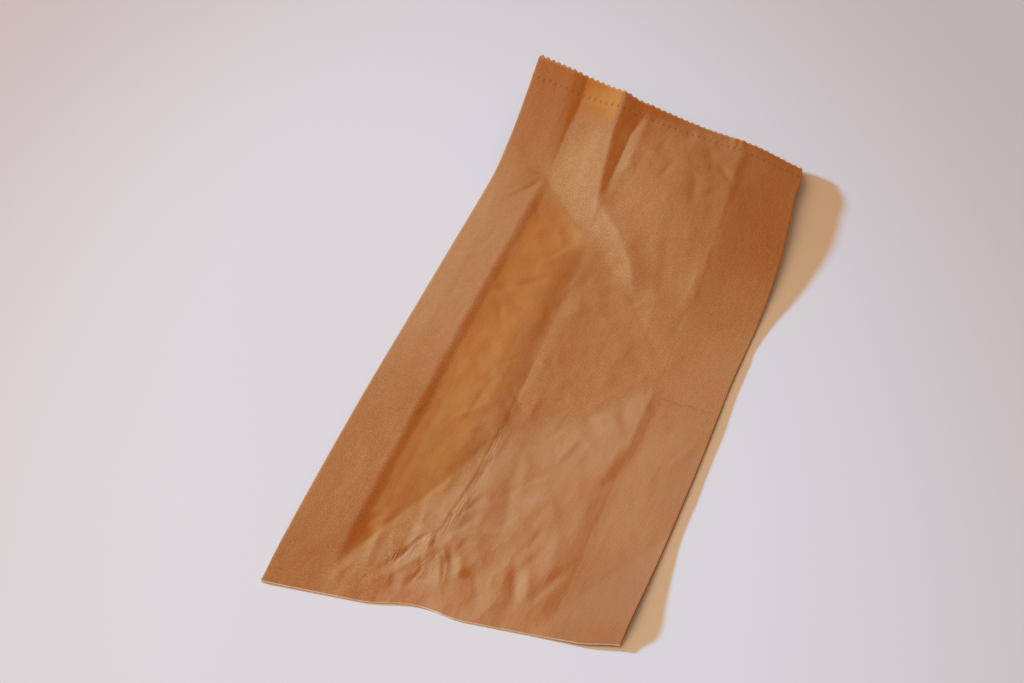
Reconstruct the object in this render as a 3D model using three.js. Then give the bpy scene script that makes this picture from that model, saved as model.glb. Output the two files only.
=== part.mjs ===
// Paper bakery bag: one sheet of kraft paper, folded to a flat tube with a gusset down each side,
// lapped and glued down the back, cut with a pinking knife at the mouth, folded under and glued at
// the bottom, and lying creased on a table after use.
// Millimetres, +X across the bag, +Y from the bottom fold to the mouth, +Z up.

import * as THREE from 'three';

// Cut and folded sizes of the flat bag
const WIDTH = 140;
const LENGTH = 307;
const GUSSET_LEFT = 25;
const GUSSET_RIGHT = 28;
const PAPER = 0.1;

// The lengthwise seam on the back: the outer ply laps over the inner one and ends at SEAM_EDGE
const SEAM_EDGE = 9;
const SEAM_LAP = 12;
const SEAM_SETTLE = 5;

// The bottom: the four plies of the tube are folded under and glued to the back
const FLAP = 18;
const FLAP_PLIES = 4;
const FLAP_SETTLE = 9;
const FOLD_NOSE = 0.6;

// Air between neighbouring plies, in the body of the bag and where the bottom fold presses them
const PLY_GAP = 0.5;
const PRESSED_GAP = 0.2;
const PRESSED_RUN = 14;

// The pinked mouth, whose front ply is cut back a little from the rear one
const TOOTH_PITCH = 3;
const TOOTH_DEPTH = 1.1;
const FRONT_CUT_BACK = 1.4;

// How the bag lies: cross-sections of its height off the table, from the mouth down. Each one gives the left
// side, the left gusset's inner fold, the pleat, the long crease, the middle, the right gusset's inner fold
// and the right side.
const PLEAT_X = -26;
const LONG_CREASE_X = -10;
const MIDDLE_X = 15;
const LIFT_SECTIONS = [
  { fromMouth: 0, heights: [30, 24.4, 20, 16.6, 11.6, 8.4, 3.2] },
  { fromMouth: 13.5, heights: [21.4, 17.2, 15.6, 14.2, 12, 9.6, 4.4] },
  { fromMouth: 28.5, heights: [13, 10.6, 11.4, 12.2, 11.6, 9.8, 4.6] },
  { fromMouth: 43.5, heights: [6.2, 5.2, 8, 10.6, 11, 9.8, 4.4] },
  { fromMouth: 58.5, heights: [1.6, 1.5, 4.6, 8.2, 9.8, 9.2, 3.8] },
  { fromMouth: 78.5, heights: [0.2, 0.2, 0.9, 4, 7.4, 7.8, 2.6] },
  { fromMouth: 103.5, heights: [0, 0, 0, 0.3, 2.6, 4.2, 1.2] },
  { fromMouth: 133.5, heights: [0, 0, 0, 0, 0, 0.8, 0] },
  { fromMouth: 173.5, heights: [0, 0, 0, 0, 0, 0, 0] },
  { fromMouth: LENGTH, heights: [0, 0, 0, 0, 0, 0, 0] },
];

// Bottom corners turned up, and the arch in the bottom fold between them, which is drawn back a little
const RIGHT_CORNER = { rise: 3.4, across: 34, along: 60 };
const LEFT_CORNER = { rise: 0.9, across: 34, along: 36 };
const CORNER_CURL = 13;
const CORNER_TIP_SHARE = 0.45;
const BOTTOM_ARCH = { rise: 1.4, back: 2.8, x: -10, halfWidth: 20, along: 48, power: 1.4 };

// Outline seen from above: both ends lie askew and drawn in, and the right side bows out
const BOTTOM_SLANT = THREE.MathUtils.degToRad(6.4);
const MOUTH_SLANT = THREE.MathUtils.degToRad(-3.5);
const BOTTOM_DRAW_IN = 2.3;
const MOUTH_DRAW_IN = 1.7;
const RIGHT_BOW = 2.3;
const SHOULDER_BOW = 3.2;
const SHOULDER_Y = 69;
const SHOULDER_RUN = 84;

// Right corners: the mouth's is worn back and bulges, and the bottom's is drawn up
const CORNER_BLUNT = 2.2;
const BLUNT_MOUTH = { across: 26, along: 25.5, bulge: 1.3, bulgeRun: 16 };
const BLUNT_BOTTOM = { across: 16, along: 30 };

// The back shows beside the front at the lower left side
const LEFT_PEEK = { width: 1.3, y: -85, halfLength: 75, run: 40 };

// Relief of the front panel over the flat plies: the strip over the left gusset stands up to its inner fold,
// the panel beside it is hollow as far as the long crease, and the panel swells to the right of that
const LEFT_STRIP_RISE = 1.4;
const LEFT_STRIP_EDGE = 9;
const LEFT_STEP = 1.3;
const LEFT_STEP_BEFORE = 1;
const LEFT_STEP_AFTER = 2.5;
const LEFT_EASE = { share: 0.6, fromMouth: 73.5, run: 40 };
const LEFT_BOTTOM_RUN = 55;
const HOLLOW_START = 0.5;
const HOLLOW = 0.7;
const HOLLOW_END_X = -14;
const SWELL = 0.5;
const SWELL_RUN = 32;
const STRIP_EDGE = 5;
const BOTTOM_FADE = 7;

// The lower right half is fuller: from this line on, the front stands clear of the back until it nears the side
const FULLNESS = 2.4;
const FULLNESS_RUN = 34;
const FULLNESS_POWER = 0.65;
const PILLOW_RUN = 34;
const FULLNESS_RETURN = { share: 0.8, before: 6 };
const FULLNESS_EDGE = [
  [78, 48], [45, 29], [40, 0], [16, -36], [-10, -52], [-20, -85], [-28, -100], [-45, -137], [-56, -160],
];

// Creases of the front panel: ridges have a positive rise and valleys a negative one.
// reach is how far the flanks run out, left and right of the way from the first point to the last.
const CREASES = [
  { name: 'pleat at the mouth', path: [[-23, 165], [-22.5, 130], [-20, 105], [-16, 80]], rise: 1.8, reach: [8, 18] },
  { name: 'hollow beside the pleat', path: [[-13.5, 165], [-13.8, 120], [-15, 88]], rise: -0.5, reach: [3, 5] },
  { name: 'thin ridge at the mouth', path: [[-10.5, 165], [-10.5, 120], [-13, 92]], rise: 0.8, reach: [6, 3] },
  { name: 'gusset fold at the mouth', path: [[-46.5, 165], [-46.5, 130], [-47, 102]], rise: -0.9, reach: [4, 8] },
  { name: 'left bend valley', path: [[-47, 99], [-30, 78], [-14, 63]], rise: -1.8, reach: [17, 7] },
  { name: 'right bend valley', path: [[-14, 63], [10, 40], [28, 14], [42, -6]], rise: -0.5, reach: [7, 14] },
  { name: 'bend ridge', path: [[-18, 86], [-4, 71], [8, 53], [15, 36]], rise: 1.6, reach: [18, 9] },
  { name: 'long crease, upper', path: [[-14, 64], [-12.5, 20], [-11, -50]], rise: -0.45, reach: [5, 9] },
  { name: 'long crease, lower', path: [[-11, -46], [-11, -80], [-14, -116], [-13, -132]], rise: -0.5, reach: [4, 4] },
  { name: 'shoulder valley', path: [[22, 118], [26, 92]], rise: -0.5, reach: [6, 7] },
  { name: 'panel valley', path: [[10, 78], [14, 52]], rise: -0.4, reach: [8, 8] },
  { name: 'panel ridge', path: [[19, 48], [29, 30]], rise: 0.5, reach: [5, 6] },
  { name: 'upper gusset ridge', path: [[41, 150], [41, 30]], rise: 0.5, reach: [4, 8] },
  { name: 'lower gusset ridge', path: [[41, -12], [41.5, -66]], rise: 0.6, reach: [5, 8] },
  { name: 'upper facet', path: [[17, -37], [31, -38.5], [39, -52], [36, -80]], rise: 0.5, reach: [4, 10] },
  { name: 'lower facet', path: [[9, -92], [21, -90.5], [29.5, -101], [34.5, -131]], rise: 0.45, reach: [5, 9] },
  { name: 'facet valley', path: [[2, -82], [8, -100], [10, -115]], rise: -0.45, reach: [5, 6] },
  { name: 'facet ridge', path: [[-4, -60], [6, -74], [9, -92]], rise: 0.35, reach: [5, 6] },
  { name: 'bottom left ridge', path: [[-37, -113], [-34, -141]], rise: 0.6, reach: [5, 5] },
  { name: 'bottom left valley', path: [[-30, -139], [-18, -122]], rise: -0.6, reach: [5, 5] },
  { name: 'bottom middle valley', path: [[0, -128], [9, -148]], rise: -0.7, reach: [6, 6] },
  { name: 'bottom right valley', path: [[18, -120], [27, -146]], rise: -0.7, reach: [6, 5] },
];
const CREASE_FADE = 14;
const CREASE_FADE_SHARE = 0.4;
const CREASE_POWER = 1.5;

// Fineness of the sheet: every ply has a line of points at each column, and the front twice as many
const COLUMNS = 15;
const LENGTH_STEP = 9.2;

const KRAFT = new THREE.MeshStandardMaterial({
  name: 'brown_kraft_paper',
  color: 0xb47a4c,
  roughness: 0.85,
  metalness: 0,
});

const HALF_WIDTH = WIDTH / 2;
const BOTTOM_Y = -LENGTH / 2;
const MOUTH_Y = LENGTH / 2;
const LEFT_FOLD = GUSSET_LEFT - HALF_WIDTH;
const RIGHT_FOLD = HALF_WIDTH - GUSSET_RIGHT;
const FRONT_PLY = 3;
const COLUMN_STEP = WIDTH / COLUMNS;
const PLY_BOW = PAPER / 2;

const { clamp, lerp, smoothstep } = THREE.MathUtils;

/** A bump of height 1 at the centre that reaches 0, level, at the half width. */
function hump(distance, halfWidth) {
  const t = clamp(1 - (distance / halfWidth) ** 2, 0, 1);
  return t * t;
}

/** Nearest place on a crease's path: its distance, the side it lies on and the length along the path. */
function nearestOnPath(path, x, y) {
  let best = { distance: Infinity, side: 1, along: 0 };
  let total = 0;
  for (let i = 0; i + 1 < path.length; i += 1) {
    const [ax, ay] = path[i];
    const [dx, dy] = [path[i + 1][0] - ax, path[i + 1][1] - ay];
    const length = Math.hypot(dx, dy);
    const t = clamp(((x - ax) * dx + (y - ay) * dy) / length ** 2, 0, 1);
    const distance = Math.hypot(x - ax - t * dx, y - ay - t * dy);
    if (distance < best.distance) {
      const side = Math.sign(dx * (y - ay) - dy * (x - ax)) || 1;
      best = { distance, side, along: total + t * length };
    }
    total += length;
  }
  return { ...best, total };
}

/** Height that one crease adds: a sharp line whose flanks run out and whose ends die away. */
function creaseHeight({ path, rise, reach }, x, y) {
  const { distance, side, along, total } = nearestOnPath(path, x, y);
  const flank = side > 0 ? reach[0] : reach[1];
  if (distance >= flank) return 0;
  const end = smoothstep(Math.min(along, total - along), -1, Math.min(CREASE_FADE, CREASE_FADE_SHARE * total));
  return rise * end * (1 - distance / flank) ** CREASE_POWER;
}

/** Air between neighbouring plies at a length along the bag. */
function plyGap(y) {
  return lerp(PRESSED_GAP, PLY_GAP, smoothstep(y, BOTTOM_Y, BOTTOM_Y + PRESSED_RUN));
}

/** Height of the fuller lower half, which comes down to the pressed bottom in a round. */
function fullness(x, y) {
  const { distance, side } = nearestOnPath(FULLNESS_EDGE, x, y);
  const pillow = 1 - clamp(1 - (y - BOTTOM_Y) / PILLOW_RUN, 0, 1) ** 2;
  const { share, before } = FULLNESS_RETURN;
  const kept = 1 - share * smoothstep(x, RIGHT_FOLD - before, HALF_WIDTH);
  return FULLNESS * clamp(side * distance / FULLNESS_RUN, 0, 1) ** FULLNESS_POWER * pillow * kept;
}

/** How far the upper ply of a gusset follows the front: not at its inner fold, and wholly at the side. */
function gussetShare(x) {
  return clamp(Math.max((LEFT_FOLD - x) / GUSSET_LEFT, (x - RIGHT_FOLD) / GUSSET_RIGHT), 0, 1);
}

/** Section of the front over the left gusset and across the hollow beside it. */
const leftTent = new THREE.LinearInterpolant(
  [
    -HALF_WIDTH, LEFT_STRIP_EDGE - HALF_WIDTH, LEFT_FOLD - LEFT_STEP_BEFORE, LEFT_FOLD + LEFT_STEP_AFTER,
    PLEAT_X, HOLLOW_END_X,
  ],
  [0, LEFT_STRIP_RISE / 2, LEFT_STRIP_RISE, LEFT_STRIP_RISE - LEFT_STEP, HOLLOW_START, -HOLLOW],
  1,
);

/** How far the front panel stands above its flat place, and never so low that it meets another ply. */
function frontRelief(x, y) {
  const leftStrip = 1 - smoothstep(x, LEFT_FOLD, LEFT_FOLD + STRIP_EDGE);
  const rightStrip = smoothstep(x, RIGHT_FOLD - STRIP_EDGE, RIGHT_FOLD);
  const panel = 1 - leftStrip - rightStrip;
  const full = fullness(x, y);
  const swell = SWELL * smoothstep(x, HOLLOW_END_X, HOLLOW_END_X + SWELL_RUN);
  const raised = Math.max(full, swell * (1 - smoothstep(x, RIGHT_FOLD - STRIP_EDGE, HALF_WIDTH)));
  const easeY = MOUTH_Y - LEFT_EASE.fromMouth;
  const tent = leftTent.evaluate(x)[0] * (1 - LEFT_EASE.share * smoothstep(y, easeY, easeY + LEFT_EASE.run))
    * smoothstep(y, BOTTOM_Y, BOTTOM_Y + LEFT_BOTTOM_RUN);
  const flat = raised + tent * (1 - smoothstep(raised, 0, SWELL));
  const creased = CREASES.reduce((sum, crease) => sum + creaseHeight(crease, x, y), flat);
  const lowest = gussetShare(x) * full - plyGap(y) * lerp(0.4, 2, panel);
  return Math.max(lowest, creased * smoothstep(y, BOTTOM_Y, BOTTOM_Y + BOTTOM_FADE));
}

/** Height of a turned-up corner: a flat facet beyond a crease across the corner. */
function cornerRise({ rise, across, along }, fromSide, fromBottom) {
  return rise * Math.max(0, 1 - fromSide / across - fromBottom / along);
}

/** The cross-sections of the lift, joined from the bottom to the mouth by one flowing curve for each height. */
const liftAlong = new THREE.CubicInterpolant(
  LIFT_SECTIONS.map(({ fromMouth }) => MOUTH_Y - fromMouth).reverse(),
  LIFT_SECTIONS.map(({ heights }) => heights).reverse().flat(),
  LIFT_SECTIONS[0].heights.length,
);
const LIFT_ACROSS = [-HALF_WIDTH, LEFT_FOLD, PLEAT_X, LONG_CREASE_X, MIDDLE_X, RIGHT_FOLD, HALF_WIDTH];

/** How far the bag as a whole is lifted off the table at a column. */
function columnLift(x, y) {
  const fromBottom = Math.max(0, y - BOTTOM_Y);
  const section = new THREE.CubicInterpolant(LIFT_ACROSS, liftAlong.evaluate(y), 1);
  const archedFold = BOTTOM_ARCH.rise * bottomArch(x, fromBottom);
  const curl = lerp(CORNER_TIP_SHARE, 1, smoothstep(fromBottom, 0, CORNER_CURL));
  return Math.max(0, section.evaluate(x)[0]) + archedFold
    + curl * cornerRise(RIGHT_CORNER, HALF_WIDTH - x, fromBottom)
    + cornerRise(LEFT_CORNER, HALF_WIDTH + x, fromBottom);
}

/** How strongly a place belongs to the arch in the bottom fold. */
function bottomArch(x, fromBottom) {
  const { x: middle, halfWidth, along, power } = BOTTOM_ARCH;
  return hump(x - middle, halfWidth) * clamp(1 - fromBottom / along, 0, 1) ** power;
}

/** The same anywhere across: straight from column to column, so that the plies lie on one another. */
function lift(x, y) {
  const column = clamp((x + HALF_WIDTH) / COLUMN_STEP, 0, COLUMNS);
  const first = Math.min(Math.floor(column), COLUMNS - 1);
  const [left, right] = [first, first + 1].map((i) => columnLift(i * COLUMN_STEP - HALF_WIDTH, y));
  return lerp(left, right, column - first);
}

/** Where a place on the flat bag lies on the table, seen from above. */
function outline(x, y) {
  const share = (y - BOTTOM_Y) / LENGTH;
  const middle = 4 * share * (1 - share);
  const slant = lerp(Math.tan(BOTTOM_SLANT), Math.tan(MOUTH_SLANT), share);
  const drawIn = BOTTOM_DRAW_IN * Math.max(0, 1 - 2 * share) ** 2 + MOUTH_DRAW_IN * Math.max(0, 2 * share - 1) ** 2;
  const rightShare = (x + HALF_WIDTH) / WIDTH;
  const bulge = BLUNT_MOUTH.bulge * hump(y - (MOUTH_Y - BLUNT_MOUTH.along / 2), BLUNT_MOUTH.bulgeRun);
  const bow = RIGHT_BOW * middle + SHOULDER_BOW * hump(y - SHOULDER_Y, SHOULDER_RUN) + bulge;
  const atMouth = smoothstep(x, HALF_WIDTH - BLUNT_MOUTH.across, HALF_WIDTH)
    * smoothstep(y, MOUTH_Y - BLUNT_MOUTH.along, MOUTH_Y);
  const atBottom = smoothstep(x, HALF_WIDTH - BLUNT_BOTTOM.across, HALF_WIDTH)
    * (1 - smoothstep(y, BOTTOM_Y, BOTTOM_Y + BLUNT_BOTTOM.along));
  const back = CORNER_BLUNT * (atBottom - atMouth) + BOTTOM_ARCH.back * bottomArch(x, y - BOTTOM_Y);
  return [x * (1 - drawIn / HALF_WIDTH) + rightShare * bow, y + x * slant + back];
}

/** Underside and inner face of the back panel above the table, with its glued lap. */
function backFaces(x) {
  const onLap = x <= SEAM_EDGE && x >= SEAM_EDGE - SEAM_LAP;
  if (onLap) return [0, 2 * PAPER];
  const settle = x > SEAM_EDGE ? PAPER * (1 - smoothstep(x, SEAM_EDGE, SEAM_EDGE + SEAM_SETTLE)) : 0;
  return [settle, settle + PAPER];
}

/** Evenly spaced places strictly between two ends. */
function between(from, to, step) {
  const count = Math.max(1, Math.round((to - from) / step));
  return Array.from({ length: count - 1 }, (_, i) => lerp(from, to, (i + 1) / count));
}

/** Stations around the folded tube: place across, ply, tuck at a fold and the way out of the bag. */
function tubeStations() {
  const stations = [];
  const [left, right] = [-HALF_WIDTH, HALF_WIDTH];
  const columns = between(left, right, COLUMN_STEP);
  const ply = (layer, from, to, xs) => {
    const [low, high] = [Math.min(from, to) + PLY_GAP, Math.max(from, to) - PLY_GAP];
    const inside = xs.filter((x) => x > low && x < high).sort((a, b) => (to > from ? a - b : b - a));
    const outZ = layer % 2 === 1 ? 1 : -1;
    inside.forEach((x) => stations.push({ x, layer, tuck: 0, outX: 0, outZ }));
  };
  const fold = (x, side, from, to, turn) => {
    for (const angle of [0, Math.PI / 2, Math.PI]) {
      stations.push({
        x,
        layer: (from + to) / 2 + (from - to) / 2 * Math.cos(angle),
        tuck: side * (Math.sin(angle) - 1),
        outX: turn * side * Math.sin(angle),
        outZ: turn * (from - to) * Math.cos(angle),
      });
    }
  };
  const seamStart = SEAM_EDGE - SEAM_LAP;
  const seam = [seamStart - PAPER / 2, seamStart, SEAM_EDGE, SEAM_EDGE + PAPER / 2, SEAM_EDGE + SEAM_SETTLE];
  ply(3, left, right, between(left, right, COLUMN_STEP / 2));
  fold(right, 1, 3, 2, 1);
  ply(2, right, RIGHT_FOLD, columns);
  fold(RIGHT_FOLD, -1, 2, 1, -1);
  ply(1, RIGHT_FOLD, right, columns);
  fold(right, 1, 1, 0, 1);
  ply(0, right, left, [...seam, ...columns.filter((x) => seam.every((edge) => Math.abs(edge - x) > PLY_GAP))]);
  fold(left, -1, 0, 1, 1);
  ply(1, left, LEFT_FOLD, columns);
  fold(LEFT_FOLD, 1, 1, 2, -1);
  ply(2, LEFT_FOLD, left, columns);
  fold(left, -1, 2, 3, 1);
  return stations;
}

/** Pairs of stations, one above the other at a column, with the bag's inside between them. */
function columnPairs(stations) {
  const folds = [LEFT_FOLD, RIGHT_FOLD];
  const columns = between(-HALF_WIDTH, HALF_WIDTH, COLUMN_STEP);
  const clear = columns.filter((x) => folds.every((fold) => Math.abs(fold - x) > 2 * PLY_GAP));
  return clear.flatMap((x) => {
    const near = [0, 1, 2, 3].map((layer) => {
      const onPly = stations.filter((s) => s.layer === layer && Math.abs(s.x - x) < PLY_GAP + PAPER);
      return onPly.sort((a, b) => Math.abs(a.x - x) - Math.abs(b.x - x))[0];
    });
    const found = near.filter(Boolean).map((s) => stations.indexOf(s));
    return found.length === 4 ? [found.slice(0, 2), found.slice(2)] : [found];
  });
}

/** Distance of the mouth's cut from its tooth tips: a zigzag across the whole width. */
function toothCut(x) {
  const phase = (x + HALF_WIDTH) / TOOTH_PITCH;
  return TOOTH_DEPTH * Math.abs(2 * (phase - Math.floor(phase)) - 1);
}

/** A station's place in the section of the pressed tube, whose plies bow slightly into the bag. */
function pressedSection(station, outer) {
  const offset = (outer ? 1 : -1) * PAPER / 2;
  const across = station.x + station.tuck * PRESSED_GAP / 2 + station.outX * offset;
  const bow = PLY_BOW * (across / HALF_WIDTH) ** 2;
  return new THREE.Vector2(across, station.layer * PRESSED_GAP + station.outZ * (offset + bow));
}

/** One place on the sheet's outer or inner face, at a station and a length along the bag. */
function sheetPoint(station, y, outer) {
  const gap = plyGap(y);
  const flapHeight = PAPER * FLAP_PLIES;
  const overFlap = flapHeight * (1 - smoothstep(y, BOTTOM_Y + FLAP, BOTTOM_Y + FLAP + FLAP_SETTLE));
  const flatX = station.x + station.tuck * gap / 2;
  const offset = (outer ? 1 : -1) * PAPER / 2;
  let height = PAPER / 2 + station.layer * gap + station.outZ * offset;
  const isBack = station.layer === 0;
  if (isBack) height = backFaces(flatX)[outer ? 0 : 1];
  const underFlap = isBack && outer && y <= BOTTOM_Y + FLAP;
  const front = Math.max(0, station.layer - FRONT_PLY + 1);
  const gusset = station.layer > FRONT_PLY - 2 ? gussetShare(flatX) * fullness(flatX, y) : 0;
  const rise = lift(flatX, y) + lerp(gusset, frontRelief(flatX, y), front);
  const peek = LEFT_PEEK.width * (1 - station.layer / FRONT_PLY) * hump(y - LEFT_PEEK.y, LEFT_PEEK.halfLength)
    * smoothstep(-flatX, HALF_WIDTH - LEFT_PEEK.run, HALF_WIDTH);
  const [px, py] = outline(flatX - peek + station.outX * offset, y);
  return new THREE.Vector3(px, py, height + overFlap - (underFlap ? flapHeight : 0) + rise);
}

/** Lengths along the bag at which the tube has a ring of points. */
function ringPlaces() {
  const flapEnd = BOTTOM_Y + FLAP;
  const lastRing = MOUTH_Y - TOOTH_DEPTH - FRONT_CUT_BACK - PAPER;
  return [
    BOTTOM_Y + FOLD_NOSE,
    ...between(BOTTOM_Y + FOLD_NOSE, flapEnd, LENGTH_STEP),
    flapEnd,
    flapEnd + PAPER,
    ...between(flapEnd + PAPER, lastRing, LENGTH_STEP),
    lastRing,
  ];
}

/** The serrated rim: stations at every tooth tip and root, with the folds' own stations kept. */
function rimStations(stations) {
  const half = TOOTH_PITCH / 2;
  const rim = [];
  stations.forEach((station, i) => {
    const next = stations[(i + 1) % stations.length];
    rim.push({ ...station, ring: i });
    if (station.layer !== next.layer) return;
    const [a, b] = [station.x, next.x].map((x) => (x + HALF_WIDTH) / half);
    const inner = [];
    for (let k = Math.ceil(Math.min(a, b) + 0.1); k < Math.max(a, b) - 0.1; k += 1) inner.push(k * half - HALF_WIDTH);
    if (b < a) inner.reverse();
    const out = station.tuck === 0 ? station : next;
    inner.forEach((x) => rim.push({ ...station, x, tuck: 0, outX: 0, outZ: Math.sign(out.outZ), ring: i }));
  });
  return rim;
}

/** Collects points and triangles of the closed sheet. */
class SheetMesh {
  points = [];
  triangles = [];

  ring(points) {
    const first = this.points.length;
    this.points.push(...points);
    return points.map((_, i) => first + i);
  }

  /** Joins two closed rings of equal count, with the same slant on every ply; out looks out of the bag. */
  band(low, high, out) {
    low.forEach((a, i) => {
      const j = (i + 1) % low.length;
      const rightward = this.points[low[j]].x > this.points[a].x;
      const [one, two] = rightward ? [high[j], a] : [high[i], low[j]];
      this.face([a, low[j], one], out);
      this.face([two, high[j], high[i]], out);
    });
  }

  /** Joins a ring to the denser rim above it, whose points say which ring point they follow. */
  serrate(ring, rim, owners, out) {
    rim.forEach((point, i) => {
      const j = (i + 1) % rim.length;
      const [own, nextOwn] = [ring[owners[i]], ring[owners[j]]];
      this.face([own, rim[j], point], out);
      if (own !== nextOwn) this.face([own, nextOwn, rim[j]], out);
    });
  }

  /** Closes a ring with a cap over the section it runs around, parted at the columns. */
  cap(ring, section, pairs, out) {
    let regions = [ring.map((_, i) => i)];
    for (const [a, b] of pairs) {
      regions = regions.flatMap((region) => {
        const [low, high] = [region.indexOf(a), region.indexOf(b)].sort((i, j) => i - j);
        if (low < 0) return [region];
        return [region.slice(low, high + 1), [...region.slice(0, low + 1), ...region.slice(high)]];
      });
    }
    for (const region of regions) {
      const faces = THREE.ShapeUtils.triangulateShape(region.map((i) => section[i]), []);
      faces.forEach((face) => this.face(face.map((i) => ring[region[i]]), out));
    }
  }

  face([a, b, c], out) {
    this.triangles.push(...(out ? [a, b, c] : [a, c, b]));
  }

  geometry() {
    const geometry = new THREE.BufferGeometry().setFromPoints(this.points);
    geometry.setIndex(this.triangles);
    geometry.computeVertexNormals();
    return geometry;
  }
}

/** The whole bag as one closed sheet: outer face, inner face, serrated rim and pressed bottom fold. */
function bagGeometry() {
  const stations = tubeStations();
  const rim = rimStations(stations);
  const owners = rim.map(({ ring }) => ring);
  const pairs = columnPairs(stations);
  const places = ringPlaces();
  const sheet = new SheetMesh();
  const rimY = ({ x, layer }) => MOUTH_Y - toothCut(x) - FRONT_CUT_BACK * layer / FRONT_PLY;
  const rims = [true, false].map((outer) => {
    const inset = outer ? 0 : 1;
    const rings = places.slice(inset).map((y) => sheet.ring(stations.map((s) => sheetPoint(s, y, outer))));
    for (let i = 0; i + 1 < rings.length; i += 1) sheet.band(rings[i], rings[i + 1], outer);
    const edge = sheet.ring(rim.map((s) => sheetPoint(s, rimY(s), outer)));
    sheet.serrate(rings.at(-1), edge, owners, outer);
    const end = outer ? sheet.ring(foldNose(stations, places[0])) : rings[0];
    if (outer) sheet.band(end, rings[0], true);
    sheet.cap(end, stations.map((s) => pressedSection(s, outer)), pairs, outer);
    return edge;
  });
  sheet.band(rims[0], rims[1], true);
  return sheet.geometry();
}

/** The bottom fold's rounded nose: the first ring drawn in to half its height and out to the fold. */
function foldNose(stations, firstY) {
  return stations.map((station) => {
    const point = sheetPoint(station, firstY, true);
    const table = lift(station.x, firstY);
    const middle = table + (PAPER * FLAP_PLIES + PAPER + FRONT_PLY * PRESSED_GAP) / 2;
    const [, foldY] = outline(station.x, BOTTOM_Y);
    return new THREE.Vector3(point.x, foldY, lerp(middle, point.z, 0.5));
  });
}

const geometry = bagGeometry();
geometry.computeBoundingBox();
const { min, max } = geometry.boundingBox;
geometry.translate(-(min.x + max.x) / 2, -(min.y + max.y) / 2, -min.z);

const paperBag = new THREE.Mesh(geometry, KRAFT);
paperBag.name = 'paper_bag';

const bag = new THREE.Group();
bag.add(paperBag);

export default bag;
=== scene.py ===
"""Paper bakery bag, lying creased on a pale table.

One sheet of brown kraft paper is modelled in the order in which such a bag is made: the flat blank
first, then its pinked ends, then its folds, and last the creases and the bend that use has left.
"""

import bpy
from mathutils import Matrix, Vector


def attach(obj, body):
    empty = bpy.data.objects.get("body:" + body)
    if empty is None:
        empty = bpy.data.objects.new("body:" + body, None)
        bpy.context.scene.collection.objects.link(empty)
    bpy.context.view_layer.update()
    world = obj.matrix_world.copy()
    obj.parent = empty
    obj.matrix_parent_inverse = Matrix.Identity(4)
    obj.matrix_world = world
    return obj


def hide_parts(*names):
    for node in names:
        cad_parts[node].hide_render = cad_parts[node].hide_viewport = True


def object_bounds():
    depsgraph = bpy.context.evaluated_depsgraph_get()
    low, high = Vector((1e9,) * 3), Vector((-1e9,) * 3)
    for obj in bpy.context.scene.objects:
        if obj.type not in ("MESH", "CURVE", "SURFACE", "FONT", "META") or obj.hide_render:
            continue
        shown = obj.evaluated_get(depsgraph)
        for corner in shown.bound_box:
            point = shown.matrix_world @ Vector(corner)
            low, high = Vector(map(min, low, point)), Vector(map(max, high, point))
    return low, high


bl_info = {
    "name": "Paper Bakery Bag",
    "version": (1, 0, 0),
    "blender": (4, 5, 0),
    "location": "3D View > Sidebar > Bakery Bag",
    "description": "Folds a creased kraft paper bakery bag over its CAD frame and sets its stage",
    "category": "Object",
}

import math
from typing import NamedTuple

import bpy
import numpy as np
from mathutils import Vector, noise

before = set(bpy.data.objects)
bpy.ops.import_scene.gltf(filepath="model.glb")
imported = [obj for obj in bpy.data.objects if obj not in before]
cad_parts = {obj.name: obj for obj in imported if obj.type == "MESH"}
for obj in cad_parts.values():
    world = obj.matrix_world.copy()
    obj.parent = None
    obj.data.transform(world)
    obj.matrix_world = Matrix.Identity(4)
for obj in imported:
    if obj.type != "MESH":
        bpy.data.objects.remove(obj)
CAD_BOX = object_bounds()

MM = 0.001
BAG = "paper_bag"
BLANK_MAP = "blank"

# Fineness of the sheet and of its folds, in millimetres
FRONT_STEP = 1.0
INNER_STEP = 3.0
LENGTH_STEP = 1.8
FLAP_STEP = 3.0
NOSE_HALF = 0.8
NOSE_ROWS = 5
FOLD_ANGLES = (45, 90, 135)
FRONT_PLY = 3

# Creases: the run over which they end, the width of their line of wear and painted shade, and the small ones that
# are strewn
CREASE_FADE = 14.0
CREASE_LINE = 0.9
SMALL_CREASES = 190
CRUSHED_CREASES = 46
SMALL_CREASE_SEED = 11
STREWN_MOST = 0.5

# Where along the bag the lower half gives way to the upper one, in millimetres
HALVES_MEET = (-70, 20)


class Crease(NamedTuple):
    """A crease of the front panel, in millimetres on the flat bag.

    A ridge has a positive rise and a valley a negative one. reach is how far its flanks run out to
    the left and to the right of the way along its path.
    """

    path: tuple
    rise: float
    reach: tuple


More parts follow.
